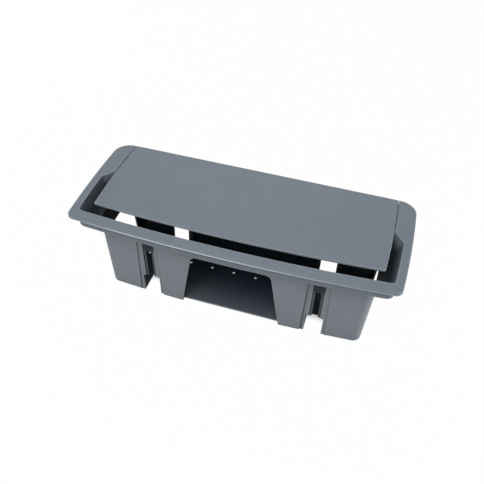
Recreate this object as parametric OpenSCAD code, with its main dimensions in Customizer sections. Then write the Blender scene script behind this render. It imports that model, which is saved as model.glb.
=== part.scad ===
// Desk-inset cable management box: a drop-in tub under a rim frame, a flush lid and four clamp slides.
// Origin: centre of the footprint, on the surface that the box stands on.
// +X runs along its length and +Y to the rear.

/* [Overall] */
// Height from the underside of the floor to the top of the lid
box_height = 153; // [140:1:170]
// Length of the rim from end to end
rim_length = 450; // [440:1:470]
// Depth of the rim from front to rear
rim_depth = 185; // [182:1:195]

/* [Rim frame] */
// Thickness of the rim above the desk top
rim_thickness = 5; // [4.8:0.1:6]
// Radius of the rim's outer top edge
rim_edge_radius = 1.8; // [1.2:0.1:3.5]
// Width of the rim along the front
rim_front_width = 14.8; // [12:0.1:16]
// Width of the rim at each end, beside the pocket
rim_side_width = 11.3; // [10:0.1:12]
// Radius of the bow of the rim's front edge
rim_bow_radius = 2800; // [2000:10:4000]
// Radius of the bow of the lid's front edge and of all that lies inside the rim
inner_bow_radius = 2520; // [2000:10:4000]
// Radius of the bow of the ends
side_bow_radius = 1450; // [1000:10:3000]
// Distance from the rear edge to where the box is longest
side_bow_setback = 55; // [40:1:70]
// Radius of the rim's front corners
rim_front_corner = 10; // [6:0.5:14]
// Radius of the rim's rear corners
rim_rear_corner = 24; // [18:0.5:26]
// Depth of the tray that hangs under the rim, from the top
tray_depth = 29.2; // [26:0.1:32]
// Thickness of the tray's outer wall at the top
tray_wall = 3; // [2.5:0.1:3.5]
// Thickness of the tray's floor at its inner edge
tray_floor = 3; // [2.6:0.1:4]
// Radius of the tray's lower outer edge
tray_edge_radius = 5; // [3:0.5:8]
// Width of the curved scoop from the rim's inner edge to the tub
scoop_width = 20.2; // [18:0.1:21]
// Radius of the scoop's front corners at the top
scoop_corner = 6; // [4:0.5:10]
// Radius of the scoop's rear corners at the top, beside the cheeks
pocket_corner = 1.6; // [1:0.1:3]

/* [Cheeks] */
// Width of each rear cheek beside the lid
cheek_width = 25.4; // [24.5:0.1:26.5]
// Depth of each cheek, along the seam from the rear edge
cheek_depth = 68.5; // [60:0.5:75]
// How far the cheek's slanted front runs forward on its way out
cheek_slant_run = 17; // [12:0.5:22]
// Width of the curved foot of the cheek's slanted front
cheek_cove = 14; // [8:0.5:16]
// Width of the ledge that the lid's sides rest over
lid_ledge = 7.4; // [6.8:0.1:8]
// Thickness of the walls left round the hollow in each cheek
cheek_shell = 3; // [2.5:0.1:4]

/* [Lid] */
// Thickness of the lid
lid_thickness = 3; // [2.6:0.1:3.2]
// Seam between the lid and the cheeks
lid_seam = 0.8; // [0.4:0.05:1]
// Gap for cables between the rim's inner edge and the lid
front_gap = 19.6; // [16:0.1:22]
// Clearance between the lid and the ledges under it
lid_clearance = 0.4; // [0.3:0.1:0.6]
// Radius of the lid's front corners
lid_corner = 3; // [2:0.5:8]
// Rounding of the lid's top edges
lid_edge_round = 0.7; // [0.4:0.1:1]
// Height of the stiffening ribs under the lid
rib_height = 4; // [2:0.5:6]
// Thickness of the ribs
rib_thickness = 1.8; // [1.2:0.1:2.5]
// Distance of the rib grid from the lid's front edge
rib_setback = 16; // [12:1:24]
// Number of cross ribs
cross_ribs = 9; // [5:2:13]

/* [Hinge] */
// Diameter of the hinge pins
pin_diameter = 2.2; // [1.8:0.1:2.4]
// Length of each hinge pin inside the cheek
pin_in_cheek = 6; // [4:0.5:7]
// Length of each hinge pin inside the lid
pin_in_lid = 12; // [8:0.5:16]
// Radius of the bead along the lid's rear edge, round the pins
bead_radius = 2.2; // [2:0.05:2.3]
// Clearance between the bead and the rim's rear bar
bead_gap = 0.4; // [0.3:0.1:0.8]
// Radial running clearance of the pins in the lid
pin_clearance = 0.05; // [0.03:0.01:0.08]

/* [Bumpers] */
// Diameter of the soft pads under the lid
bumper_diameter = 4.4; // [3.5:0.1:4.8]
// Depth of each pad's seat in the ledge
bumper_seat = 0.9; // [0.6:0.1:1.2]
// Distance of the pads behind the front end of the seam
bumper_setback = 16; // [13:1:40]

/* [Tub] */
// Thickness of the tub's walls
tub_wall = 2.5; // [2:0.1:3]
// Thickness of the tub's floor
floor_thickness = 2.5; // [2:0.1:3.5]
// Draft of the tub's walls in degrees
tub_draft = 2.1; // [1:0.1:3]
// Distance from the rim's rear edge to the tub's back wall
tub_rear_setback = 15.2; // [15:0.1:17]
// Radius of the tub's upright corners
tub_corner = 12; // [9:0.5:16]
// Radius of the tub's lower edge
tub_edge_radius = 3; // [2:0.5:4]
// Width of the flange along the front and the ends of the tub's top
tub_flange_width = 7.6; // [7.2:0.1:7.8]
// Thickness of that flange
tub_flange = 2.5; // [2:0.1:3.5]

/* [Channels] */
// Distance of the channels from the middle
channel_x = 121.8; // [115:0.1:130]
// Width of each channel cut through wall and floor
channel_width = 25.3; // [22:0.1:28]
// Height of the channel's cut in the wall
channel_height = 34.5; // [25:0.5:45]
// Length of the front channels' cuts in the floor
channel_front_reach = 37; // [25:0.5:42]
// Length of the rear channels' cuts in the floor
channel_rear_reach = 30; // [25:0.5:42]
// Width of the shallow band round each channel, at its top
band_width = 30.4; // [29:0.1:34]
// Width of the band at the floor
band_base_width = 36.6; // [32:0.1:40]
// How far the web lies behind the tub's face
web_setback = 2.2; // [1.8:0.1:2.4]
// Thickness of the web
web_thickness = 3; // [2.6:0.1:4]

/* [Slots] */
// Width of the slot through the web
slot_width = 8.6; // [8:0.1:10]
// Width of the shallow recess round the slot
slot_recess_width = 16.2; // [15:0.1:18]
// Depth of that recess
slot_recess_depth = 1.5; // [1.2:0.1:1.8]
// Distance of the slot's top below the top of the box
slot_drop = 51.5; // [45:0.5:60]

/* [Front mouth] */
// Width of the mouth at its top
mouth_top_width = 112.4; // [90:0.5:130]
// Width of the mouth at the bottom
mouth_base_width = 146; // [120:0.5:160]
// Distance of the mouth's top below the top of the box
mouth_drop = 51; // [45:0.5:70]
// Radius of the openings' upper corners
opening_corner = 10; // [3:0.5:12]
// How far the floor is cut back behind each opening
floor_cutback = 4.4; // [3:0.2:10]

/* [End openings] */
// Width of each end opening at its top
end_top_width = 73; // [50:0.5:80]
// Width of each end opening at the bottom
end_base_width = 89; // [82:0.5:95]
// Distance of each end opening's top below the top of the box
end_drop = 61; // [50:0.5:80]

/* [Floor holes] */
// Diameter of the fixing holes in the floor
floor_hole_diameter = 4.6; // [3:0.1:6]
// Spacing of the fixing holes
floor_hole_pitch = 35.4; // [30:0.1:36]
// Number of fixing holes in the row
floor_hole_count = 10; // [6:2:10]
// Distance of the row behind the middle of the floor
floor_hole_offset = 14.2; // [5:0.2:20]
// Diameter of the round gate mark in the middle of the floor
gate_mark_diameter = 5; // [3:0.5:8]
// Height of the gate mark
gate_mark_height = 0.5; // [0.3:0.1:1]
// Distance of the gate mark behind the middle of the floor
gate_mark_offset = 2.2; // [0:0.2:8]

/* [Clamp slides] */
// Height of the plate that slides in the slot's recess
clamp_plate_height = 12; // [10:0.5:16]
// Distance that the plate stands proud of the web
clamp_plate_proud = 0.9; // [0.5:0.1:1.4]
// Clearance of the clamp's pieces in the slot and beside the web
clamp_clearance = 0.3; // [0.3:0.05:0.4]
// Width of the pressure pad behind the web
clamp_pad_width = 20; // [16:0.5:23]
// Height of the pressure pad
clamp_pad_height = 16; // [12:0.5:20]
// Thickness of the pressure pad
clamp_pad_thickness = 2.4; // [2:0.1:3]
// Diameter of the clamp screw
clamp_screw_diameter = 4.8; // [4:0.1:5.2]
// Distance that the screw's end stands out past the knob
clamp_screw_end = 1.2; // [0.4:0.1:3]
// Diameter of the knob
knob_diameter = 18; // [14:0.5:22]
// Length of the knob
knob_length = 9; // [7:0.5:12]
// Number of flutes round the knob
knob_flutes = 8; // [6:1:12]
// Radius of each flute
knob_flute_radius = 2; // [1.5:0.1:2.5]
// Radial running clearance of the screw
screw_clearance = 0.06; // [0.03:0.01:0.08]

/* [Rim screws] */
// Diameter of the screws that hold the tub to the rim
rim_screw_diameter = 3; // [2.5:0.1:3.4]
// Depth that they reach into the tray
rim_screw_reach = 3.4; // [2.8:0.1:3.8]
// Diameter of their heads
rim_screw_head_diameter = 5.6; // [5:0.1:6.2]
// Height of their heads
rim_screw_head_height = 1.9; // [1.5:0.1:2.5]
// Radial clearance of the screws in the tub's flange
rim_screw_clearance = 0.3; // [0.2:0.05:0.5]
// Distance of the front screws outside the tub's wall
rim_screw_offset = 4.2; // [3.8:0.1:4.6]
// Distance of the end screws outside the tub's widest wall
rim_screw_end_offset = 3.4; // [3:0.1:3.8]
// Distance of the inner front screws from the middle
rim_screw_inner_x = 60; // [40:1:90]
// Distance of the outer front screws from the middle
rim_screw_outer_x = 165; // [145:1:170]
// Distance of the rear end screws in front of the cheeks' seams
rim_screw_end_setback = 20; // [16:1:26]
// Spacing of the two end screws
rim_screw_end_pitch = 42; // [30:1:48]

/* [Hidden] */

$fn = 48;
// Overshoot of cutters past the faces that they cut, and overlap of what is joined
cut = 1;
overlap = 0.1;
// Larger than the whole box, for half planes
far = 600;
// Steps along half of the front bow, along an end, round a corner, round an edge and down the scoop
bow_steps = 10;
side_steps = 6;
corner_steps = 10;
edge_steps = 5;
scoop_steps = 8;

slate = [0.46, 0.50, 0.54];
black_plastic = [0.10, 0.10, 0.11];
steel = [0.72, 0.73, 0.75];

top = box_height;
desk_plane = top - rim_thickness;
tray_under = top - tray_depth;
scoop_depth = tray_depth - tray_floor;

rim_half = rim_length / 2;
rim_front = -rim_depth / 2;
rim_rear = rim_depth / 2;
bow_y = rim_rear - side_bow_setback;

scoop_half = rim_half - rim_side_width;
scoop_front = rim_front + rim_front_width;
tub_half = scoop_half - scoop_width + tub_wall;
tub_front = scoop_front + scoop_width - tub_wall;
tub_rear = rim_rear - tub_rear_setback;
tub_middle = (tub_front + tub_rear) / 2;
draft_run = tray_under * tan(tub_draft);

seam_half = rim_half - cheek_width;
seat_half = seam_half + lid_seam / 2;
lid_half = seam_half - lid_seam / 2;
lid_front = scoop_front + front_gap;
lid_under = top - lid_thickness;
ledge_top = lid_under - lid_clearance;
ledge_half = seam_half - lid_ledge;
seam_front = rim_rear - cheek_depth;
slant_slope = cheek_slant_run / (cheek_width - rim_side_width);
ledge_front = seam_front + lid_ledge * slant_slope;
slant_angle = atan2(1, slant_slope);
well_half = min(ledge_half, scoop_half - scoop_width - 1.5);
well_front = ledge_front + (ledge_half - well_half) * slant_slope;
well_corner = tub_corner - tub_wall;

pin_y = rim_rear - bead_radius - 0.4;
pin_z = top - bead_radius - 0.2;
pin_seam = side_x(seam_half, pin_y);
bead_half = side_x(lid_half, pin_y);

bumper_x = seam_half - lid_ledge / 2;
bumper_y = seam_front + bumper_setback;

slot_top = top - slot_drop;
web_front_y = tub_front + bow_drop(channel_x) + web_setback;
web_rear_y = tub_rear - web_setback;
// Lengths measured down the web from the underside of the tray
web_length = tray_under / cos(tub_draft);
band_start = tub_flange / cos(tub_draft);
slot_start = (tray_under - slot_top) / cos(tub_draft);
clamp_drop = slot_start + clamp_plate_height / 2 + clamp_clearance;
pad_start = web_thickness + clamp_clearance;
knob_start = pad_start + clamp_pad_thickness + clamp_clearance;

RIM_SCREWS = concat(
    [for (x = [-rim_screw_outer_x, -rim_screw_inner_x, rim_screw_inner_x, rim_screw_outer_x])
        [x, tub_front + bow_drop(x) - rim_screw_offset]],
    [for (side = [-1, 1], y = [0, -rim_screw_end_pitch])
        [side * (tub_half + rim_screw_end_offset), seam_front - rim_screw_end_setback + y]]
);

// How far the inner bow falls back at a distance from its middle
function bow_drop(x) = inner_bow_radius - sqrt(inner_bow_radius * inner_bow_radius - x * x);

// Centre of the bow of the right end
function side_centre() = [rim_half - side_bow_radius, bow_y];

// Radius of the bow of an end, at a half length
function side_radius(half) = half - rim_half + side_bow_radius;

// Where the bow of the right end runs, at a depth
function side_x(half, y) = side_centre()[0] + sqrt(pow(side_radius(half), 2) - pow(y - bow_y, 2));

// Points along an arc, without the last one
function arc(centre, radius, from, to, steps) =
    [for (step = [0 : steps - 1]) let (angle = from + (to - from) * step / steps)
        centre + radius * [cos(angle), sin(angle)]];

function heading(from, to) = atan2(to[1] - from[1], to[0] - from[0]);

// Centre of a corner that is tangent to the front bow and to the right end
function front_corner_centre(half, front, bow, corner) =
    let (origin = [0, front + bow], line = side_centre() - origin, gap = norm(line), unit = line / gap,
        reach = bow - corner, other = side_radius(half) - corner,
        along = (reach * reach - other * other + gap * gap) / (2 * gap))
    origin + along * unit + sqrt(reach * reach - along * along) * [-unit[1], unit[0]];

// Right half of an outline, from the middle of the front to the middle of the rear
function half_outline(half, front, rear, bow, front_corner, rear_corner) =
    let (origin = [0, front + bow], side = side_centre(), radius = side_radius(half),
        ahead = front_corner_centre(half, front, bow, front_corner),
        behind_y = rear - rear_corner,
        behind = [side[0] + sqrt(pow(radius - rear_corner, 2) - pow(behind_y - side[1], 2)), behind_y],
        front_angle = heading(origin, ahead),
        side_from = heading(side, ahead), side_to = heading(side, behind))
    concat(
        arc(origin, bow, -90, front_angle, bow_steps),
        arc(ahead, front_corner, front_angle, side_from, corner_steps),
        arc(side, radius, side_from, side_to, side_steps),
        arc(behind, rear_corner, side_to, 90, corner_steps),
        [[behind[0], rear]]
    );

// Outline with a bowed front, bowed ends, a straight rear and rounded corners
function outline(half, front, rear, bow, front_corner, rear_corner) =
    let (points = half_outline(half, front, rear, bow, front_corner, rear_corner))
    concat(points, [for (index = [len(points) - 1 : -1 : 1]) [-points[index][0], points[index][1]]]);

function rim_outline(inset) =
    outline(rim_half - inset, rim_front + inset, rim_rear - inset, rim_bow_radius - inset,
        rim_front_corner - inset, rim_rear_corner - inset);

// The tray's corners open out towards the tub's as it narrows
function tray_outline(inset) =
    outline(scoop_half + tray_wall - inset, scoop_front - tray_wall + inset, tub_rear + tray_wall,
        inner_bow_radius - inset,
        (scoop_corner + tray_wall) * (1 - inset / tray_edge_radius)
            + tub_corner * inset / tray_edge_radius, 3);

// Centre of the fillet between the right end and the cheek's slanted front
function pocket_corner_centre(half, shift, corner) =
    let (along = [-1, slant_slope] / norm([1, slant_slope]),
        inward = -[slant_slope, 1] / norm([1, slant_slope]),
        start = [well_half, well_front - shift] + corner * inward, offset = start - side_centre(),
        reach = side_radius(half) - corner, dot = offset * along)
    start - (dot + sqrt(dot * dot - offset * offset + reach * reach)) * along;

// Right half of the scoop's outline: front, end, slanted front of the cheek, and the well between the ledges
function scoop_half_outline(inset, shift, front_corner, rear_corner) =
    let (half = scoop_half - inset, bow = inner_bow_radius - inset, front = scoop_front + inset,
        origin = [0, front + bow], side = side_centre(),
        ahead = front_corner_centre(half, front, bow, front_corner),
        behind = pocket_corner_centre(half, shift, rear_corner),
        front_angle = heading(origin, ahead),
        side_from = heading(side, ahead), side_to = heading(side, behind),
        rear = tub_rear - tub_wall)
    concat(
        arc(origin, bow, -90, front_angle, bow_steps),
        arc(ahead, front_corner, front_angle, side_from, corner_steps),
        arc(side, side_radius(half), side_from, side_to, side_steps),
        arc(behind, rear_corner, side_to, slant_angle, corner_steps),
        [behind + rear_corner * [cos(slant_angle), sin(slant_angle)], [well_half, well_front - shift]],
        arc([well_half - well_corner, rear - well_corner], well_corner, 0, 90, corner_steps),
        [[well_half - well_corner, rear]]
    );

// Outline of the scoop, from 0 at the top to 1 at its foot
function scoop_outline(share) =
    let (shift = share * cheek_cove * norm([1, slant_slope]),
        points = scoop_half_outline(share * scoop_width, shift,
            scoop_corner * (1 - share) + well_corner * share, pocket_corner * (1 + share)))
    concat(points, [for (index = [len(points) - 1 : -1 : 1]) [-points[index][0], points[index][1]]]);

function tub_outline(z, inset) =
    let (run = (tray_under - z) * tan(tub_draft) + inset)
    outline(tub_half - run, tub_front + run, tub_rear - run, inner_bow_radius - run,
        tub_corner - inset, tub_corner - inset);

function lid_outline(inset) =
    outline(lid_half - inset, lid_front + inset, pin_y + bead_radius - inset, inner_bow_radius - inset,
        lid_corner - inset, 0.3);

// Outline of a channel's band across the web, wider towards the floor, with a margin round it
function band_outline(margin, from, to) =
    let (flare = (band_base_width - band_width) / 2 / (web_length - band_start),
        upper = band_width / 2 + margin + flare * (from - band_start),
        lower = band_width / 2 + margin + flare * (to - band_start))
    [[-lower, -to], [lower, -to], [upper, -from], [-upper, -from]];

// Solid through a stack of outlines, given from the lowest to the highest as heights and points
module loft(layers) {
    count = len(layers[0][1]);
    last = (len(layers) - 1) * count;
    polyhedron(
        points = [for (layer = layers, point = layer[1]) [point[0], point[1], layer[0]]],
        faces = concat(
            [[for (index = [0 : count - 1]) index]],
            [[for (index = [count - 1 : -1 : 0]) last + index]],
            [for (level = [0 : len(layers) - 2], index = [0 : count - 1], half = [0, 1])
                let (this = level * count + index, next = level * count + (index + 1) % count)
                half == 0 ? [this, this + count, next] : [next, this + count, next + count]]
        )
    );
}

// Angles of a quarter round, from flat to upright and back
function rising(steps) = [for (step = [0 : steps]) 90 * step / steps];
function falling(steps) = [for (step = [steps : -1 : 0]) 90 * step / steps];

// Rim flange with a quarter round along its outer top edge
module rim_flange() {
    loft(concat(
        [[desk_plane, rim_outline(0)]],
        [for (angle = rising(edge_steps))
            [top - rim_edge_radius * (1 - sin(angle)), rim_outline(rim_edge_radius * (1 - cos(angle)))]]
    ));
}

// Outside of the tray under the rim, with a quarter round along its lower edge
module tray_outside() {
    loft(concat(
        [for (angle = falling(edge_steps))
            [tray_under + tray_edge_radius * (1 - sin(angle)),
                tray_outline(tray_edge_radius * (1 - cos(angle)))]],
        [[desk_plane + cut, tray_outline(0)]]
    ));
}

// Curved scoop that leads from the rim's inner edge and the cheeks' fronts down through the tray's floor
module scoop() {
    loft(concat(
        [[tray_under - cut, scoop_outline(1)]],
        [for (angle = falling(scoop_steps))
            [top - scoop_depth * sin(angle), scoop_outline(1 - cos(angle))]],
        [[top + cut, scoop_outline(0)]]
    ));
}

// Seat of the lid between the cheeks, and the slot behind it for the bead
module lid_seat() {
    seat = outline(seat_half, lid_front, rim_rear + 4, inner_bow_radius, lid_corner, 0.3);
    translate([0, 0, ledge_top]) linear_extrude(height = tray_depth) polygon(seat);
    translate([0, 0, desk_plane - cut]) linear_extrude(height = tray_depth) intersection() {
        polygon(seat);
        translate([-far, pin_y - bead_radius - bead_gap]) square([2 * far, far]);
    }
}

// Hollow in each cheek, open towards the well
module cheek_hollow(side) {
    outer = scoop_half + tray_wall - tray_edge_radius / 2 - cheek_shell / 2;
    front = ledge_front + cheek_shell;
    rear = tub_rear - cheek_shell;
    translate([side > 0 ? ledge_half - cut : -outer, front, tray_under + tray_floor])
        cube([outer - ledge_half + cut, rear - front, ledge_top - cheek_shell - tray_under - tray_floor]);
}

// Cylinder along X from a start to an end
module along_x(from, to, radius) {
    translate([min(from, to), 0, 0]) rotate([0, 90, 0]) cylinder(r = radius, h = abs(to - from));
}

// Cylinder along Y from a start to an end
module along_y(from, to, radius) {
    translate([0, from, 0]) rotate([-90, 0, 0]) cylinder(r = radius, h = to - from);
}

module rim_frame() {
    color(slate) difference() {
        union() {
            rim_flange();
            tray_outside();
        }
        scoop();
        lid_seat();
        for (side = [-1, 1]) {
            cheek_hollow(side);
            translate([0, pin_y, pin_z])
                along_x(side * (pin_seam - cut), side * (pin_seam + pin_in_cheek), pin_diameter / 2);
            translate([side * bumper_x, bumper_y, ledge_top - bumper_seat])
                cylinder(d = bumper_diameter, h = bumper_seat + cut);
        }
        for (place = RIM_SCREWS)
            translate([place[0], place[1], tray_under - cut])
                cylinder(d = rim_screw_diameter, h = rim_screw_reach + cut);
    }
}

module bumper(side) {
    color(black_plastic) translate([side * bumper_x, bumper_y, ledge_top - bumper_seat])
        cylinder(d = bumper_diameter, h = bumper_seat + lid_clearance);
}

module hinge_pin(side) {
    color(steel) translate([0, pin_y, pin_z])
        along_x(side * (pin_seam - pin_in_lid), side * (pin_seam + pin_in_cheek), pin_diameter / 2);
}

// Lid plate with softened top edges
module lid_plate() {
    loft([
        [lid_under, lid_outline(0)],
        [top - lid_edge_round, lid_outline(0)],
        [top - lid_edge_round * 0.3, lid_outline(lid_edge_round * 0.3)],
        [top, lid_outline(lid_edge_round)]
    ]);
}

// Grid of ribs under the lid, clear of the ledges and of the rim's rear bar
module lid_ribs() {
    grid_half = ledge_half - 2 * lid_ledge;
    grid_front = lid_front + bow_drop(grid_half) + rib_setback;
    grid_rear = tub_rear - tub_wall - rib_setback / 2;
    rib_z = lid_under - rib_height;
    for (y = [grid_front, (grid_front + grid_rear) / 2, grid_rear - rib_thickness])
        translate([-grid_half, y, rib_z]) cube([2 * grid_half, rib_thickness, rib_height + overlap]);
    for (index = [0 : cross_ribs - 1])
        translate([-grid_half + index * (2 * grid_half - rib_thickness) / (cross_ribs - 1),
            grid_front, rib_z])
            cube([rib_thickness, grid_rear - grid_front, rib_height + overlap]);
}

module lid() {
    color(slate) difference() {
        union() {
            lid_plate();
            lid_ribs();
            translate([0, pin_y, pin_z]) along_x(-bead_half, bead_half, bead_radius);
        }
        for (side = [-1, 1])
            translate([0, pin_y, pin_z])
                along_x(side * (pin_seam - pin_in_lid - lid_seam), side * (pin_seam + cut),
                    pin_diameter / 2 + pin_clearance);
    }
}

module tub_outside() {
    loft(concat(
        [for (angle = falling(edge_steps)) let (z = tub_edge_radius * (1 - sin(angle)))
            [z, tub_outline(z, tub_edge_radius * (1 - cos(angle)))]],
        [[tray_under, tub_outline(tray_under, 0)]]
    ));
}

module tub_inside() {
    loft([
        [floor_thickness, tub_outline(floor_thickness, tub_wall)],
        [tray_under + cut, tub_outline(tray_under + cut, tub_wall)]
    ]);
}

module tub_top_flange() {
    translate([0, 0, tray_under - tub_flange]) linear_extrude(height = tub_flange)
        polygon(outline(tub_half + tub_flange_width, tub_front - tub_flange_width, tub_rear,
            inner_bow_radius + tub_flange_width, tub_corner, tub_corner));
}

// Frame of a channel: x across it, y from the web's face into the tub, z up the web from the tray
module at_channel(face, side) {
    translate([side * channel_x, face > 0 ? web_front_y : web_rear_y, tray_under])
        mirror([0, face > 0 ? 0 : 1, 0]) rotate([tub_draft, 0, 0]) children();
}

// Plate in the plane of a web, between two depths behind its face
module web_plate(outline, from, to) {
    translate([0, to, 0]) rotate([90, 0, 0]) linear_extrude(height = to - from) polygon(outline);
}

// Space of a channel's band, between two depths behind the web's face
module band_space(from, to) {
    web_plate(band_outline(0, band_start, web_length + 3 * cut), from, to);
}

// Web with its returns, which closes a channel's band from behind
module channel_web() {
    lip = web_setback / 2;
    difference() {
        web_plate(band_outline(tub_wall, band_start - tub_wall, web_length - floor_thickness / 2),
            -lip, web_thickness);
        band_space(-lip - cut, 0);
    }
}

// Stepped slot in a web, open at its lower end
module slot_cutter() {
    reach = (tray_under - channel_height / 2) / cos(tub_draft);
    translate([-slot_width / 2, -cut, -reach])
        cube([slot_width, web_thickness + 2 * cut, reach - slot_start]);
    translate([-slot_recess_width / 2, -cut, -reach])
        cube([slot_recess_width, slot_recess_depth + cut, reach - slot_start]);
}

// Channel cut through the wall and the floor
module channel_cutter(face, side) {
    from = face > 0 ? tub_front + draft_run - far : tub_rear - draft_run - channel_rear_reach;
    reach = face > 0 ? channel_front_reach : channel_rear_reach;
    translate([side * channel_x - channel_width / 2, from, -cut])
        cube([channel_width, far + reach, channel_height + cut]);
}

// Flared opening with rounded upper corners, across Y, from the bottom of the box up
module flared_opening(top_width, base_width, height, length) {
    flare = (base_width - top_width) / 2 / height;
    lean = atan(flare);
    corner_x = top_width / 2 - opening_corner * (1 / cos(lean) - flare);
    corner_z = height - opening_corner;
    rotate([90, 0, 0]) translate([0, 0, -length / 2]) linear_extrude(height = length) difference() {
        polygon([
            [-base_width / 2 - flare * cut, -cut], [base_width / 2 + flare * cut, -cut],
            [top_width / 2, height], [-top_width / 2, height]
        ]);
        for (side = [-1, 1]) difference() {
            polygon([
                [side * corner_x, corner_z + opening_corner + cut], [side * corner_x, corner_z],
                [side * (corner_x + opening_corner * cos(lean)), corner_z + opening_corner * sin(lean)],
                [side * (corner_x + 3 * opening_corner), corner_z + opening_corner * sin(lean)],
                [side * (corner_x + 3 * opening_corner), corner_z + opening_corner + cut]
            ]);
            translate([side * corner_x, corner_z]) circle(r = opening_corner);
        }
    }
}

module mouth_cutter() {
    inner = tub_front + draft_run + tub_wall;
    depth = 2 * (tub_wall + 2 * draft_run + cut);
    floor_width = mouth_base_width - 2 * floor_thickness;
    translate([0, tub_front, 0])
        flared_opening(mouth_top_width, mouth_base_width, top - mouth_drop, depth);
    translate([-floor_width / 2, tub_front, -cut])
        cube([floor_width, inner + floor_cutback - tub_front, floor_thickness + 2 * cut]);
}

module end_cutter(side) {
    inner = tub_half - draft_run - tub_wall;
    depth = 2 * (tub_wall + 2 * draft_run + cut);
    floor_width = end_base_width - 2 * floor_thickness;
    translate([side * tub_half, tub_middle, 0]) rotate([0, 0, 90])
        flared_opening(end_top_width, end_base_width, top - end_drop, depth);
    translate([side > 0 ? inner - floor_cutback : -tub_half, tub_middle - floor_width / 2, -cut])
        cube([tub_half - inner + floor_cutback, floor_width, floor_thickness + 2 * cut]);
}

module tub() {
    color(slate) difference() {
        union() {
            difference() {
                union() {
                    tub_outside();
                    tub_top_flange();
                }
                for (face = [1, -1], side = [-1, 1]) at_channel(face, side)
                    band_space(-2 * web_setback - tub_wall, overlap);
                tub_inside();
            }
            for (face = [1, -1], side = [-1, 1]) at_channel(face, side) channel_web();
            translate([0, tub_middle + gate_mark_offset, floor_thickness - overlap])
                cylinder(d = gate_mark_diameter, h = gate_mark_height + overlap);
        }
        for (face = [1, -1], side = [-1, 1]) {
            at_channel(face, side) slot_cutter();
            channel_cutter(face, side);
        }
        mouth_cutter();
        for (side = [-1, 1]) end_cutter(side);
        for (index = [0 : floor_hole_count - 1])
            translate([(index - (floor_hole_count - 1) / 2) * floor_hole_pitch,
                tub_middle + floor_hole_offset, -cut])
                cylinder(d = floor_hole_diameter, h = floor_thickness + 2 * cut);
        for (place = RIM_SCREWS)
            translate([place[0], place[1], tray_under - tub_flange - cut])
                cylinder(r = rim_screw_diameter / 2 + rim_screw_clearance, h = tub_flange + 2 * cut);
    }
}

// Plate in the slot's recess, with the neck that guides it in the slot and the screw that the knob turns on
module clamp_plate(face, side) {
    width = slot_recess_width - 2 * clamp_clearance;
    neck = slot_width - 2 * clamp_clearance;
    color(black_plastic) at_channel(face, side) translate([0, 0, -clamp_drop]) {
        translate([-width / 2, -clamp_plate_proud, -clamp_plate_height / 2])
            cube([width, clamp_plate_proud + slot_recess_depth - clamp_clearance, clamp_plate_height]);
        translate([-neck / 2, 0, -clamp_plate_height / 2])
            cube([neck, pad_start, clamp_plate_height]);
        along_y(0, knob_start + knob_length + clamp_screw_end, clamp_screw_diameter / 2);
    }
}

module clamp_pad(face, side) {
    color(black_plastic) at_channel(face, side) translate([0, 0, -clamp_drop]) difference() {
        translate([-clamp_pad_width / 2, pad_start, -clamp_pad_height / 2])
            cube([clamp_pad_width, clamp_pad_thickness, clamp_pad_height]);
        along_y(0, pad_start + clamp_pad_thickness + cut, clamp_screw_diameter / 2 + screw_clearance);
    }
}

// Fluted knob that turns on the clamp screw behind the pad
module clamp_knob(face, side) {
    color(black_plastic) at_channel(face, side) translate([0, 0, -clamp_drop]) difference() {
        along_y(knob_start, knob_start + knob_length, knob_diameter / 2);
        along_y(knob_start - cut, knob_start + knob_length + cut,
            clamp_screw_diameter / 2 + screw_clearance);
        for (index = [0 : knob_flutes - 1])
            rotate([0, index * 360 / knob_flutes, 0])
                translate([knob_diameter / 2 + knob_flute_radius / 3, 0, 0])
                    along_y(knob_start + cut, knob_start + knob_length + cut, knob_flute_radius);
    }
}

module rim_screw(index) {
    place = RIM_SCREWS[index - 1];
    color(steel) translate([place[0], place[1], tray_under - tub_flange - rim_screw_head_height]) {
        cylinder(d = rim_screw_head_diameter, h = rim_screw_head_height);
        cylinder(d = rim_screw_diameter, h = rim_screw_head_height + tub_flange + rim_screw_reach);
    }
}

rim_frame();
tub();
lid();
hinge_pin(-1);  // hinge_pin_left
hinge_pin(1);  // hinge_pin_right
bumper(-1);  // bumper_left
bumper(1);  // bumper_right
clamp_plate(1, -1);  // clamp_plate_front_left
clamp_plate(1, 1);  // clamp_plate_front_right
clamp_plate(-1, -1);  // clamp_plate_rear_left
clamp_plate(-1, 1);  // clamp_plate_rear_right
clamp_pad(1, -1);  // clamp_pad_front_left
clamp_pad(1, 1);  // clamp_pad_front_right
clamp_pad(-1, -1);  // clamp_pad_rear_left
clamp_pad(-1, 1);  // clamp_pad_rear_right
clamp_knob(1, -1);  // clamp_knob_front_left
clamp_knob(1, 1);  // clamp_knob_front_right
clamp_knob(-1, -1);  // clamp_knob_rear_left
clamp_knob(-1, 1);  // clamp_knob_rear_right
rim_screw(1);  // rim_screw_1
rim_screw(2);  // rim_screw_2
rim_screw(3);  // rim_screw_3
rim_screw(4);  // rim_screw_4
rim_screw(5);  // rim_screw_5
rim_screw(6);  // rim_screw_6
rim_screw(7);  // rim_screw_7
rim_screw(8);  // rim_screw_8
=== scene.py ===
"""Looks of a desk-inset cable management box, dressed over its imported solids.

Lengths are in metres, in the frame of the solids: +X along the box, +Y to its hinged rear edge, +Z up.
"""

from __future__ import annotations

import logging
from dataclasses import dataclass, field, replace
from enum import Enum
from typing import Mapping, Union

import bpy
from mathutils import Matrix, Vector


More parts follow.
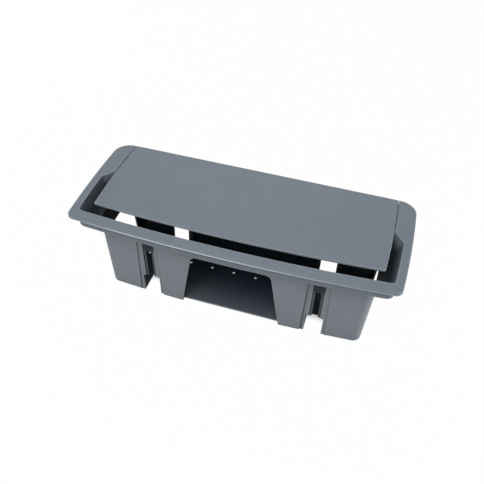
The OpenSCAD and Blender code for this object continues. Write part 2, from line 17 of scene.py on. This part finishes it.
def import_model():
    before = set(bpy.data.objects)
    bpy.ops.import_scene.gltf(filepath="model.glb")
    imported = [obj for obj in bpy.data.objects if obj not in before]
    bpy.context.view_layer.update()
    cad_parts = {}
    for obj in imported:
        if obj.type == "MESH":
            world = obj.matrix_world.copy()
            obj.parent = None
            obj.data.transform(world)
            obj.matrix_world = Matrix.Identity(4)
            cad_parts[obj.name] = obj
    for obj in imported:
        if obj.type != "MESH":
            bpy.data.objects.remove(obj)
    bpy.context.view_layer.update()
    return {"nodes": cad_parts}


LOG = logging.getLogger("cable_box")
MM = 0.001
MASK_RAYS = 8
NOISE_MEAN = 0.5

Triple = tuple[float, float, float]
Colour = Triple
Span = tuple[float, float]
Value = Union["Wire", float]
Sockets = Mapping[Union[str, int], object]

WHITE: Colour = (1.0, 1.0, 1.0)


class Side(Enum):
    """The two ends of the box, as the nodes' names have them."""

    LEFT = "left"
    RIGHT = "right"


class Face(Enum):
    """The two long faces of the tub, as the nodes' names have them."""

    FRONT = "front"
    REAR = "rear"


class Axis(Enum):
    """The directions that a turned piece's axis takes here, with a True for its own coordinate."""

    X = (True, False, False)
    Z = (False, False, True)


class Wire:
    """An output socket whose arithmetic adds Math nodes to its graph."""

    def __init__(self, graph: "Graph", socket: bpy.types.NodeSocket) -> None:
        """Wrap a socket.

        Args:
            graph: The graph that the socket belongs to.
            socket: The output socket.
        """
        self.graph = graph
        self.socket = socket

    def _math(self, operation: str, *values: Value) -> "Wire":
        """Add a Math node.

        Args:
            operation: The node's operation.
            values: Its inputs in order.

        Returns:
            The node's result.
        """
        node = self.graph.add("ShaderNodeMath", dict(enumerate(values)), operation=operation)
        return Wire(self.graph, node.outputs[0])

    def __add__(self, other: Value) -> "Wire":
        """Return the sum."""
        return self._math("ADD", self, other)

    __radd__ = __add__

    def __sub__(self, other: Value) -> "Wire":
        """Return the difference."""
        return self._math("SUBTRACT", self, other)

    def __rsub__(self, other: Value) -> "Wire":
        """Return the reflected difference."""
        return self._math("SUBTRACT", other, self)

    def __mul__(self, other: Value) -> "Wire":
        """Return the product."""
        return self._math("MULTIPLY", self, other)

    __rmul__ = __mul__

    def __truediv__(self, other: Value) -> "Wire":
        """Return the quotient."""
        return self._math("DIVIDE", self, other)

    def __rtruediv__(self, other: Value) -> "Wire":
        """Return the reflected quotient."""
        return self._math("DIVIDE", other, self)

    def axis(self, letter: str) -> "Wire":
        """Return one coordinate of a vector."""
        node = self.graph.add("ShaderNodeSeparateXYZ", {"Vector": self})
        return Wire(self.graph, node.outputs[letter])

    def size(self) -> "Wire":
        """Return the value without its sign."""
        return self._math("ABSOLUTE", self)

    def at_least(self, limit: float) -> "Wire":
        """Return the value, held up to a limit."""
        return self._math("MAXIMUM", self, limit)

    def at_most(self, limit: float) -> "Wire":
        """Return the value, held down to a limit."""
        return self._math("MINIMUM", self, limit)

    def rise(self, low: float, high: float) -> "Wire":
        """Return a smooth step from 0 at low to 1 at high."""
        sockets = {"Value": self, "From Min": low, "From Max": high}
        node = self.graph.add("ShaderNodeMapRange", sockets, interpolation_type="SMOOTHSTEP")
        return Wire(self.graph, node.outputs["Result"])

    def fall(self, low: float, high: float) -> "Wire":
        """Return a smooth step from 1 at low to 0 at high."""
        return 1.0 - self.rise(low, high)

    def less(self, loss: float) -> "Wire":
        """Return 1 where the value is 1, and 1 less a loss where it is 0."""
        return self * loss + (1.0 - loss)


class Graph:
    """The node graph of one material, or of the world."""

    def __init__(self, tree: bpy.types.NodeTree, material: bpy.types.Material | None = None) -> None:
        """Empty a node tree and take it over.

        Args:
            tree: The tree.
            material: The material that it belongs to, if any.
        """
        self.material = material
        self.tree = tree
        self.tree.nodes.clear()

    @classmethod
    def of_material(cls, name: str) -> "Graph":
        """Return the graph of a new material."""
        material = bpy.data.materials.new(name)
        material.use_nodes = True
        return cls(material.node_tree, material)

    def add(self, kind: str, sockets: Sockets | None = None, **settings: object) -> bpy.types.Node:
        """Add a node.

        Args:
            kind: The node's type.
            sockets: Values, or wires to link, by the input's name or number. A colour needs no alpha.
            settings: The node's properties, which are set first.

        Returns:
            The new node.
        """
        node = self.tree.nodes.new(kind)
        for key, value in settings.items():
            setattr(node, key, value)
        for key, value in (sockets or {}).items():
            socket = node.inputs[key]
            if isinstance(value, Wire):
                self.tree.links.new(value.socket, socket)
            elif socket.type == "RGBA":
                socket.default_value = (*value, 1.0)
            else:
                socket.default_value = value
        return node

    def wire(self, node: bpy.types.Node, output: str | int = 0) -> Wire:
        """Return one of a node's outputs as a wire."""
        return Wire(self, node.outputs[output])

    def place(self) -> Wire:
        """Return the surface's place in the object's own coordinates, in metres."""
        return self.wire(self.add("ShaderNodeTexCoord"), "Object")

    def facing(self) -> Wire:
        """Return the surface's normal in the object's own axes."""
        return self.wire(self.add("ShaderNodeTexCoord"), "Normal")

    def noise(self, where: Wire, cloud: "Cloud") -> Wire:
        """Return cloud noise from 0 to 1.

        Args:
            where: The place to read it at.
            cloud: The noise's size and layers.

        Returns:
            The noise.
        """
        sockets = {
            "Vector": where,
            "Scale": 1.0 / cloud.width,
            "Detail": cloud.detail,
            "Roughness": cloud.strength,
        }
        return self.wire(self.add("ShaderNodeTexNoise", sockets), "Fac")

    def cells(self, where: Wire, width: float) -> Wire:
        """Return the distance to the nearest of scattered points, for cells of a width in metres."""
        sockets = {"Vector": where, "Scale": 1.0 / width}
        return self.wire(self.add("ShaderNodeTexVoronoi", sockets), "Distance")

    def blend(self, factor: Value, first: Wire | Colour, second: Wire | Colour) -> Wire:
        """Mix two colours.

        Args:
            factor: The share of the second.
            first: A colour or a wire of one.
            second: The other.

        Returns:
            The mixed colour.
        """
        # The Mix node's colour inputs are its seventh and eighth, and its colour output is its third.
        node = self.add("ShaderNodeMix", {0: factor, 6: first, 7: second}, data_type="RGBA")
        return self.wire(node, 2)

    def scaled(self, colour: Wire, share: Wire) -> Wire:
        """Return a colour with each channel multiplied by a share."""
        sockets = {0: colour, "Scale": share}
        return self.wire(self.add("ShaderNodeVectorMath", sockets, operation="SCALE"))

    def stretched(self, where: Wire, factors: Triple) -> Wire:
        """Return a place with each coordinate multiplied by its own factor."""
        return self.wire(self.add("ShaderNodeVectorMath", {0: where, 1: factors}, operation="MULTIPLY"))

    def openness(self, reach: float, own: bool = True, within: bool = False) -> Wire:
        """Return how open the space beside the surface is: 1 in the clear, 0 deep in a hollow.

        Args:
            reach: How far away a surface can be and still count, in metres.
            own: Whether only the solid itself counts.
            within: Whether the space inside the solid is meant, which is tight at its outer edges.

        Returns:
            The openness.
        """
        settings = {"samples": MASK_RAYS, "inside": within, "only_local": own}
        return self.wire(self.add("ShaderNodeAmbientOcclusion", {"Distance": reach}, **settings), "AO")

    def rounded(self, radius: float) -> Wire:
        """Return the normal of a surface whose edges are rounded to a radius in metres."""
        return self.wire(self.add("ShaderNodeBevel", {"Radius": radius}, samples=MASK_RAYS))

    def bump(self, height: Wire, depth: float, normal: Wire) -> Wire:
        """Return a normal bent by a height field.

        Args:
            height: The field, from 0 to 1.
            depth: What 1 stands for, in metres.
            normal: The normal that is bent.

        Returns:
            The bent normal.
        """
        sockets = {"Height": height, "Distance": depth, "Strength": 1.0, "Normal": normal}
        return self.wire(self.add("ShaderNodeBump", sockets))

    def surface(self, **sockets: object) -> bpy.types.Material:
        """Close the graph with a Principled shader.

        Args:
            sockets: Its inputs, with underscores for spaces.

        Returns:
            The material.
        """
        named = {key.replace("_", " "): value for key, value in sockets.items()}
        shader = self.add("ShaderNodeBsdfPrincipled", named)
        self.add("ShaderNodeOutputMaterial", {"Surface": self.wire(shader)})
        return self.material

    def clear_view(self) -> Wire:
        """Return 1 for rays from the camera, a clear reflection or glass, and 0 for all others."""
        path = self.add("ShaderNodeLightPath")
        camera, glossy, glass = (
            self.wire(path, f"Is {kind} Ray") for kind in ("Camera", "Glossy", "Transmission")
        )
        return (camera + glossy + glass).at_most(1.0)

    def choose(self, share: Wire, first: bpy.types.Node, second: bpy.types.Node) -> Wire:
        """Mix two shaders.

        Args:
            share: The share of the second.
            first: A shader node.
            second: The other.

        Returns:
            The mixed shader.
        """
        sockets = {0: share, 1: self.wire(first), 2: self.wire(second)}
        return self.wire(self.add("ShaderNodeMixShader", sockets))


@dataclass(frozen=True)
class DisplayCurve:
    """The curve by which a display turns stored values into light: a short line, then a power."""

    full: int = 255
    knee: float = 0.04045
    slope: float = 12.92
    shift: float = 0.055
    power: float = 2.4

    def light(self, value: int) -> float:
        """Return the linear light of one channel's stored value."""
        share = value / self.full
        if share <= self.knee:
            return share / self.slope
        return ((share + self.shift) / (1.0 + self.shift)) ** self.power


def linear(red: int, green: int, blue: int) -> Colour:
    """Turn a colour of 8-bit display values into linear light.

    Args:
        red: Red from 0 to 255.
        green: Green from 0 to 255.
        blue: Blue from 0 to 255.

    Returns:
        The linear colour.
    """
    curve = DisplayCurve()
    return curve.light(red), curve.light(green), curve.light(blue)


@dataclass(frozen=True)
class Cloud:
    """Cloud noise: the width of one cloud in metres, and the count and strength of finer layers."""

    width: float
    detail: float
    strength: float


@dataclass(frozen=True)
class PaintedLipHighlight:
    """A painted highlight: the pale line that light draws along a front lip.

    It is brightest left of the middle and fades towards both ends of the box.

    Attributes:
        low: The height of its lower edge, which is crisp within low_fade.
        high: The height of its upper edge, which is crisp within high_fade.
        share: How much of the line's colour shows.
        rear_fade: Where it ends on the way to the rear.
        right_fade: Where it loses right_loss on the way to the right.
        left_fade: Where it starts, seen from the left.
        turn: How far a face has to turn to the front to carry it.
    """

    low: float
    high: float
    share: float
    low_fade: float = 0.5 * MM
    high_fade: float = 0.6 * MM
    rear_fade: Span = (-40 * MM, -20 * MM)
    right_fade: Span = (-40 * MM, 200 * MM)
    right_loss: float = 0.8
    left_fade: Span = (-240 * MM, -120 * MM)
    turn: Span = (0.25, 0.75)

    def mask(self, graph: Graph, where: Wire) -> Wire:
        """Return the line's mask.

        Args:
            graph: The finish's graph.
            where: The surface's place.

        Returns:
            The mask, which is 1 on the line.
        """
        height = where.axis("Z")
        across = where.axis("X")
        strip = height.rise(self.low, self.low + self.low_fade)
        strip = strip * height.fall(self.high - self.high_fade, self.high)
        strip = strip * where.axis("Y").fall(*self.rear_fade)
        strip = strip * (1.0 - self.right_loss * across.rise(*self.right_fade))
        strip = strip * across.rise(*self.left_fade)
        return strip * (0.0 - graph.facing().axis("Y")).rise(*self.turn)


@dataclass(frozen=True)
class PaintedSlotShade:
    """Painted shade on the strips beside the slots, where the clamps slide.

    Attributes:
        share: How much of the painted shade's colour shows.
        colour: The colour of the painted shade.
        across: The distance of a strip's middle from the box's middle.
        half_width: Half of its width, without side_fade.
        top: The height at which it ends, within top_fade.
    """

    share: float
    colour: Colour = (0.05, 0.057, 0.064)
    across: float = 121.8 * MM
    half_width: float = 8.1 * MM
    side_fade: float = 0.2 * MM
    top: float = 101.5 * MM
    top_fade: float = 0.3 * MM

    def mask(self, where: Wire) -> Wire:
        """Return the painted shade's mask.

        Args:
            where: The surface's place.

        Returns:
            The mask, which is 1 on the painted shade.
        """
        aside = (where.axis("X").size() - self.across).size()
        band = aside.fall(self.half_width, self.half_width + self.side_fade)
        return band * where.axis("Z").fall(self.top, self.top + self.top_fade)


@dataclass(frozen=True)
class PaintedDepthShade:
    """Painted shade on faces that look into the box, which grows with their depth below its brim.

    Attributes:
        colour: The colour of the painted shade on the deepest faces.
        share: How much of that colour shows there.
        brim: The height at which the faces start to darken.
        brim_share: The share of the mask that is there at the brim itself, over brim_fade.
        ramp: The depth below the brim at which the mask is full.
        floor: The height below which a face that looks up is the inner floor, within floor_fade.
        floor_turn: How far such a face has to turn up.
        wall_turn: How far a wall has to turn to the middle of the box.
        middle: The distance from the box's middle planes at which a wall is clearly on one side.
        daylight: How much of the mask the floor loses at its front, over daylight_fade, as painted
            light.
    """

    colour: Colour = (0.004, 0.010, 0.018)
    share: float = 0.96
    brim: float = 153 * MM
    brim_share: float = 0.25
    brim_fade: Span = (-1 * MM, 3 * MM)
    ramp: float = 16 * MM
    floor: float = 4 * MM
    floor_fade: float = 2 * MM
    floor_turn: Span = (0.1, 0.6)
    wall_turn: Span = (0.1, 0.7)
    middle: float = 20 * MM
    daylight: float = 0.0
    daylight_fade: Span = (-70 * MM, 20 * MM)

    def mask(self, graph: Graph, where: Wire) -> Wire:
        """Return how deep inside the box's shell a surface lies.

        Args:
            graph: The finish's graph.
            where: The surface's place.

        Returns:
            The mask: 0 on outer faces, up to 1 on walls that face the middle and on the inner floor.
        """
        facing = graph.facing()
        height = where.axis("Z")
        ahead, across = (
            (where.axis(letter) / self.middle).at_least(-1.0).at_most(1.0) * facing.axis(letter)
            for letter in "YX"
        )
        wall = (0.0 - ahead - across).rise(*self.wall_turn)
        ground = facing.axis("Z").rise(*self.floor_turn)
        ground = ground * height.fall(self.floor, self.floor + self.floor_fade)
        ground = ground * where.axis("Y").rise(*self.daylight_fade).less(self.daylight)
        below = self.brim - height
        depth = below.rise(0.0, self.ramp) * (1.0 - self.brim_share)
        depth = depth + below.rise(*self.brim_fade) * self.brim_share
        return (1.0 - (1.0 - wall) * (1.0 - ground)) * depth


@dataclass(frozen=True)
class MouldedPlastic:
    """Matt plastic with the spark-eroded grain of its mould, with painted highlights on its edges and
    painted shade in its hollows and on its inner faces.

    Attributes:
        name: The material's name.
        colour: The plastic's own tone.
        pale: The tone that the grain's high spots blend in.
        dark: The tone that slow clouds blend in.
        line: The tone of the painted highlights on edges and on the lip.
        lip: The painted highlight along a front lip, if there is one.
        slot_shade: The painted shade beside the slots, if there is any.
        depth_shade: The painted shade of inner faces.
        bubble_ratio: The width of the grain's bubbles over that of its pits.
        edge: How far from an outer edge its painted highlight starts.
        edge_patches: The least share of the painted edge highlight, and what a full smear adds to it.
        edge_highlight_fade: Where the painted edge highlight loses rear_loss on the way to the rear.
        lip_patches: What edge_patches is, for the lip.
        slot_shade_patches: What edge_patches is, for the painted slot shade.
        room: How near other surfaces have to be to darken a face with painted shade, by up to shadow.
        crease: How near the solid's own surfaces have to be to darken a face with painted shade, by up
            to crease_shade.
        softness: The radius that edges seem rounded to.
    """

    name: str
    colour: Colour
    pale: Colour
    dark: Colour
    line: Colour
    lip: PaintedLipHighlight | None = None
    slot_shade: PaintedSlotShade | None = None
    depth_shade: PaintedDepthShade = PaintedDepthShade()

    clouds: Cloud = Cloud(60 * MM, 3.0, 0.55)
    cloud_gain: float = 0.8
    cloud_level: float = 0.35
    smears: Cloud = Cloud(9 * MM, 4.0, 0.65)

    pits: Cloud = Cloud(0.6 * MM, 3.0, 0.6)
    pit_span: Span = (0.52, 0.75)
    pit_share: float = 0.22
    pit_height: float = 0.65
    bubble_ratio: float = 1.6
    bubble_height: float = 0.35
    grain_depth: float = 0.03 * MM
    softness: float = 0.8 * MM

    edge: float = 2.4 * MM
    edge_span: Span = (0.12, 0.62)
    edge_patches: Span = (0.6, 0.7)
    edge_highlight: float = 0.75
    edge_highlight_fade: Span = (10 * MM, 40 * MM)
    rear_loss: float = 0.8
    lip_patches: Span = (0.7, 0.6)
    slot_shade_patches: Span = (0.8, 0.4)

    room: float = 150 * MM
    room_span: Span = (0.25, 0.60)
    shadow: float = 0.6
    crease: float = 4 * MM
    crease_span: Span = (0.45, 0.95)
    crease_shade: float = 0.55

    gloss: float = 0.2
    roughness: float = 0.5
    pit_roughness: float = 0.14
    smear_roughness: float = 0.10
    edge_polish: float = 0.12

    def build(self) -> bpy.types.Material:
        """Build the material.

        Returns:
            The material.
        """
        graph = Graph.of_material(self.name)
        where = graph.place()
        pits = graph.noise(where, self.pits)
        bubbles = graph.cells(where, self.bubble_ratio * self.pits.width)
        clouds = graph.noise(where, self.clouds)
        smear = graph.noise(where, self.smears)
        height = self.pit_height * pits + self.bubble_height * bubbles

        # Painted highlight: a pale tone along outer edges, fading towards the rear.
        edges = (1.0 - graph.openness(self.edge, within=True)).rise(*self.edge_span)
        edges = edges * self._patchy(smear, self.edge_patches)
        edges = edges * (1.0 - self.rear_loss * where.axis("Y").rise(*self.edge_highlight_fade))

        cloudy = (clouds - NOISE_MEAN) * self.cloud_gain + self.cloud_level
        tone = graph.blend(cloudy, self.colour, self.dark)
        tone = graph.blend(self.pit_share * pits.rise(*self.pit_span), tone, self.pale)
        tone = graph.blend(self.edge_highlight * edges, tone, self.line)
        # Painted highlight: a pale line along the front lip.
        if self.lip:
            lip = self.lip.mask(graph, where) * self._patchy(smear, self.lip_patches)
            tone = graph.blend((lip * self.lip.share).at_most(1.0), tone, self.line)
        # Painted shade: dark strips beside the slots.
        if self.slot_shade:
            slot_shade = self.slot_shade.mask(where) * self._patchy(smear, self.slot_shade_patches)
            tone = graph.blend((slot_shade * self.slot_shade.share).at_most(1.0), tone, self.slot_shade.colour)
        # Painted shade: inner faces darken with depth below the brim.
        tone = graph.blend(self.depth_shade.share * self.depth_shade.mask(graph, where), tone, self.depth_shade.colour)

        # Painted shade: darker in hollows near other surfaces and in the solid's own creases.
        hollow = graph.openness(self.room, own=False).rise(*self.room_span)
        fold = graph.openness(self.crease).rise(*self.crease_span)
        tone = graph.scaled(tone, hollow.less(self.shadow) * fold.less(self.crease_shade))

        rough = self.roughness + (pits - NOISE_MEAN) * self.pit_roughness
        rough = rough + (smear - NOISE_MEAN) * self.smear_roughness - edges * self.edge_polish
        return graph.surface(
            Base_Color=tone,
            Roughness=rough,
            Specular_IOR_Level=self.gloss,
            Normal=graph.bump(height, self.grain_depth, graph.rounded(self.softness)),
        )

    @staticmethod
    def _patchy(smear: Wire, patches: Span) -> Wire:
        """Return the share of a mask that its patches leave."""
        least, gain = patches
        return least + smear * gain


@dataclass(frozen=True)
class SoftRubber:
    """Black rubber with a dusty skin."""

    name: str
    colour: Colour = (0.018, 0.018, 0.019)
    dust: Colour = (0.06, 0.058, 0.055)
    film: Cloud = Cloud(1.5 * MM, 4.0, 0.6)
    film_span: Span = (0.45, 0.8)
    film_share: float = 0.5
    pores: Cloud = Cloud(0.2 * MM, 2.0, 0.5)
    pore_depth: float = 0.02 * MM
    softness: float = 0.3 * MM
    roughness: float = 0.78
    film_roughness: float = 0.2

    def build(self) -> bpy.types.Material:
        """Build the material.

        Returns:
            The material.
        """
        graph = Graph.of_material(self.name)
        where = graph.place()
        film = graph.noise(where, self.film)
        pores = graph.noise(where, self.pores)
        dusty = film.rise(*self.film_span) * self.film_share
        return graph.surface(
            Base_Color=graph.blend(dusty, self.colour, self.dust),
            Roughness=self.roughness + (film - NOISE_MEAN) * self.film_roughness,
            Normal=graph.bump(pores, self.pore_depth, graph.rounded(self.softness)),
        )


@dataclass(frozen=True)
class PlatedSteel:
    """Zinc-plated steel with fine turning marks, which lie close together along its axis."""

    name: str
    axis: Axis
    colour: Colour = (0.58, 0.59, 0.61)
    tarnish: Colour = (0.30, 0.29, 0.27)
    marks: Cloud = Cloud(0.6 * MM, 3.0, 0.6)
    squeeze: float = 8.0
    mark_depth: float = 0.01 * MM
    softness: float = 0.2 * MM
    spots: Cloud = Cloud(2.0 * MM, 4.0, 0.7)
    spot_span: Span = (0.5, 0.85)
    spot_share: float = 0.6
    roughness: float = 0.26
    mark_roughness: float = 0.14
    spot_roughness: float = 0.2

    def build(self) -> bpy.types.Material:
        """Build the material.

        Returns:
            The material.
        """
        graph = Graph.of_material(self.name)
        where = graph.place()
        factors = tuple(self.squeeze if along else 1.0 for along in self.axis.value)
        marks = graph.noise(graph.stretched(where, factors), self.marks)
        spots = graph.noise(where, self.spots).rise(*self.spot_span)
        return graph.surface(
            Base_Color=graph.blend(spots * self.spot_share, self.colour, self.tarnish),
            Metallic=1.0,
            Roughness=self.roughness + marks * self.mark_roughness + spots * self.spot_roughness,
            Normal=graph.bump(marks, self.mark_depth, graph.rounded(self.softness)),
        )


@dataclass(frozen=True)
class StudioSweep:
    """White floor that the camera sees as paper and that keeps the box's shadow.

    A painted shadow lies under the middle of the box, where its floor holes show it.

    Attributes:
        name: The material's name.
        paper: How pale the floor is, with fibres that are up to fibre_loss darker.
        glow: How much of what the camera sees is plain white.
        shade: How much the glow loses under the box, as painted shadow.
        shade_ends: Where the shade ends on the way to the box's ends.
        shade_sides: Where it ends on the way to its long faces, measured from shade_middle.
    """

    name: str
    paper: float = 0.8
    fibre: Cloud = Cloud(4 * MM, 3.0, 0.6)
    fibre_share: float = 0.04
    fibre_loss: float = 0.05
    glow: float = 0.98
    shade: float = 0.5
    shade_ends: Span = (180 * MM, 190 * MM)
    shade_sides: Span = (30 * MM, 42 * MM)
    shade_middle: float = 10 * MM

    def build(self) -> bpy.types.Material:
        """Build the material.

        Returns:
            The material.
        """
        graph = Graph.of_material(self.name)
        where = graph.place()
        fibre = self.fibre_share * graph.noise(where, self.fibre)
        paper = graph.blend(fibre, (self.paper,) * 3, (self.paper - self.fibre_loss,) * 3)
        matt = graph.add("ShaderNodeBsdfDiffuse", {"Color": paper})
        light = graph.add("ShaderNodeEmission", {"Color": WHITE, "Strength": 1.0})
        # Painted shadow: the floor is darker in a pool under the middle of the box.
        along = where.axis("X").size().fall(*self.shade_ends)
        beside = (where.axis("Y") - self.shade_middle).size().fall(*self.shade_sides)
        share = graph.clear_view() * self.glow * (1.0 - along * beside * self.shade)
        graph.add("ShaderNodeOutputMaterial", {"Surface": graph.choose(share, matt, light)})
        return graph.material


@dataclass
class Palette:
    """The finishes of the box, built once."""

    slate: bpy.types.Material = field(init=False)
    rim_slate: bpy.types.Material = field(init=False)
    tub_slate: bpy.types.Material = field(init=False)
    black: bpy.types.Material = field(init=False)
    rubber: bpy.types.Material = field(init=False)
    turned_steel: bpy.types.Material = field(init=False)
    screw_steel: bpy.types.Material = field(init=False)

    def __post_init__(self) -> None:
        """Build every finish."""
        slate = MouldedPlastic(
            "slate_plastic",
            colour=linear(118, 127, 136),
            pale=linear(160, 169, 178),
            dark=linear(108, 117, 126),
            line=linear(205, 213, 222),
            lip=PaintedLipHighlight(149.8 * MM, 152.4 * MM, share=0.6),
        )
        rim_depth_shade = PaintedDepthShade(
            colour=(0.010, 0.013, 0.016),
            share=0.94,
            brim_share=0.0,
            ramp=21 * MM,
            floor=147 * MM,
        )
        self.slate = slate.build()
        self.rim_slate = replace(
            slate,
            name="rim_slate_plastic",
            line=linear(215, 223, 232),
            lip=PaintedLipHighlight(147.7 * MM, 150.4 * MM, share=0.7),
            depth_shade=rim_depth_shade,
            edge_highlight=0.35,
            shadow=0.1,
        ).build()
        self.tub_slate = MouldedPlastic(
            "tub_slate_plastic",
            colour=linear(128, 134, 141),
            pale=linear(157, 164, 172),
            dark=linear(119, 125, 132),
            line=linear(185, 192, 199),
            slot_shade=PaintedSlotShade(share=0.9),
            depth_shade=PaintedDepthShade(daylight=0.34),
            edge=1.5 * MM,
            edge_highlight=0.6,
        ).build()
        self.black = MouldedPlastic(
            "black_plastic",
            colour=linear(44, 50, 56),
            pale=linear(92, 98, 106),
            dark=linear(22, 25, 30),
            line=linear(96, 101, 108),
            edge=0.4 * MM,
            edge_highlight=0.4,
            gloss=0.12,
            roughness=0.46,
        ).build()
        self.rubber = SoftRubber("bumper_rubber").build()
        self.turned_steel = PlatedSteel("turned_steel", Axis.X).build()
        self.screw_steel = PlatedSteel("screw_steel", Axis.Z).build()


def dress(node: bpy.types.Object, material: bpy.types.Material) -> None:
    """Give one solid its finish.

    Args:
        node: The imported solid.
        material: Its finish.
    """
    node.data.materials.clear()
    node.data.materials.append(material)
    LOG.info("dressed %s in %s", node.name, material.name)


@dataclass
class RimFrame:
    """The flange, the cheeks and the cable tray, with the pins, pads and screws that it holds."""

    nodes: Mapping[str, bpy.types.Object]
    palette: Palette
    screw_count: int = 8

    def build(self) -> None:
        """Dress the rim frame and what is fixed in it."""
        dress(self.nodes["rim_frame"], self.palette.rim_slate)
        for side in Side:
            dress(self.nodes[f"hinge_pin_{side.value}"], self.palette.turned_steel)
            dress(self.nodes[f"bumper_{side.value}"], self.palette.rubber)
        for number in range(1, self.screw_count + 1):
            dress(self.nodes[f"rim_screw_{number}"], self.palette.screw_steel)


@dataclass
class Tub:
    """The drafted tub under the rim."""

    nodes: Mapping[str, bpy.types.Object]
    palette: Palette

    def build(self) -> None:
        """Dress the tub."""
        dress(self.nodes["tub"], self.palette.tub_slate)


@dataclass
class Lid:
    """The flush lid."""

    nodes: Mapping[str, bpy.types.Object]
    palette: Palette

    def build(self) -> None:
        """Dress the lid."""
        dress(self.nodes["lid"], self.palette.slate)


@dataclass
class ClampSlide:
    """One clamp: the plate and the pad on its slide, and the knob that tightens them."""

    face: Face
    side: Side
    nodes: Mapping[str, bpy.types.Object]
    palette: Palette

    def build(self) -> None:
        """Dress the clamp's three pieces."""
        for piece in ("plate", "pad", "knob"):
            name = f"clamp_{piece}_{self.face.value}_{self.side.value}"
            dress(self.nodes[name], self.palette.black)


@dataclass(frozen=True)
class SoftBox:
    """A square studio lamp aimed at a point, with its width in metres and its power in watts.

    A lamp without sheen leaves no glare on a face that is seen at a low angle.
    """

    name: str
    place: Triple
    target: Triple
    width: float
    power: float
    sheen: bool = True

    def build(self) -> None:
        """Make the lamp."""
        data = bpy.data.lights.new(self.name, "AREA")
        data.shape = "SQUARE"
        data.size = self.width
        data.energy = self.power
        lamp = bpy.data.objects.new(self.name, data)
        lamp.visible_glossy = self.sheen
        lamp.location = self.place
        lamp.rotation_mode = "QUATERNION"
        lamp.rotation_quaternion = (Vector(self.target) - Vector(self.place)).to_track_quat("-Z", "Y")
        bpy.context.scene.collection.objects.link(lamp)


@dataclass(frozen=True)
class Studio:
    """The white sweep, the soft lamps and the pale world.

    Attributes:
        floor_size: The length of the floor's sides, in metres.
        ambient: The world's strength as a light.
        backdrop: The world's strength as the camera sees it, where 1 is white.
        lamps: The lamps.
    """

    floor_size: float = 12.0
    ambient: float = 0.07
    backdrop: float = 1.0
    lamps: tuple[SoftBox, ...] = (
        SoftBox("key_lamp", (-0.1, -1.25, 1.75), (0.0, 0.0, 0.1), 1.2, 36.5),
        SoftBox("rear_lamp", (-0.3, 1.5, 1.1), (0.0, 0.0, 0.1), 1.2, 7.5),
        SoftBox("right_lamp", (1.5, 0.25, 0.22), (0.2, 0.0, 0.06), 0.4, 15.0, sheen=False),
        SoftBox("left_lamp", (-1.4, 0.7, 0.3), (-0.2, 0.0, 0.06), 0.5, 9.0, sheen=False),
    )

    def build(self) -> None:
        """Make the floor, the lamps and the world."""
        self._floor()
        for lamp in self.lamps:
            lamp.build()
        self._world()

    def _floor(self) -> None:
        """Lay the sweep under the box."""
        half = self.floor_size / 2
        mesh = bpy.data.meshes.new("studio_floor")
        outline = [(-half, -half, 0.0), (half, -half, 0.0), (half, half, 0.0), (-half, half, 0.0)]
        mesh.from_pydata(outline, [], [(0, 1, 2, 3)])
        floor = bpy.data.objects.new("studio_floor", mesh)
        floor.data.materials.append(StudioSweep("studio_sweep").build())
        bpy.context.scene.collection.objects.link(floor)

    def _world(self) -> None:
        """Give the world a soft grey light that the camera and clear reflections see as white."""
        world = bpy.data.worlds.new("studio_world")
        world.use_nodes = True
        bpy.context.scene.world = world
        graph = Graph(world.node_tree)
        light, white = (
            graph.add("ShaderNodeBackground", {"Color": WHITE, "Strength": strength})
            for strength in (self.ambient, self.backdrop)
        )
        graph.add("ShaderNodeOutputWorld", {"Surface": graph.choose(graph.clear_view(), light, white)})


@dataclass(frozen=True)
class ViewCamera:
    """The photograph's viewpoint: in front of the box, to its right and above.

    The lens and the sensor are in millimetres, and all other lengths in metres.
    """

    place: Triple = (0.150484, -0.565639, 0.655914)
    turn: tuple[Triple, Triple, Triple] = (
        (0.956871, -0.222938, 0.186271),
        (0.288606, 0.656124, -0.697286),
        (0.033234, 0.720971, 0.692167),
    )
    lens: float = 42.545
    sensor: float = 36.0
    nearest: float = 0.01
    farthest: float = 50.0

    def build(self) -> None:
        """Make the camera and hand it to the scene."""
        data = bpy.data.cameras.new("view_camera")
        data.lens = self.lens
        data.sensor_width = self.sensor
        data.clip_start = self.nearest
        data.clip_end = self.farthest
        camera = bpy.data.objects.new("view_camera", data)
        camera.matrix_world = Matrix.Translation(self.place) @ Matrix(self.turn).to_4x4()
        bpy.context.scene.collection.objects.link(camera)
        bpy.context.scene.camera = camera


def main() -> None:
    """Build the scene in order."""
    logging.basicConfig(level=logging.INFO, format="%(name)s: %(message)s")
    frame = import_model()
    bpy.context.scene.view_settings.view_transform = "Standard"
    ViewCamera().build()
    Studio().build()
    palette = Palette()
    nodes = frame["nodes"]
    RimFrame(nodes, palette).build()
    Tub(nodes, palette).build()
    Lid(nodes, palette).build()
    for face in Face:
        for side in Side:
            ClampSlide(face, side, nodes, palette).build()


if __name__ == "__main__":
    main()
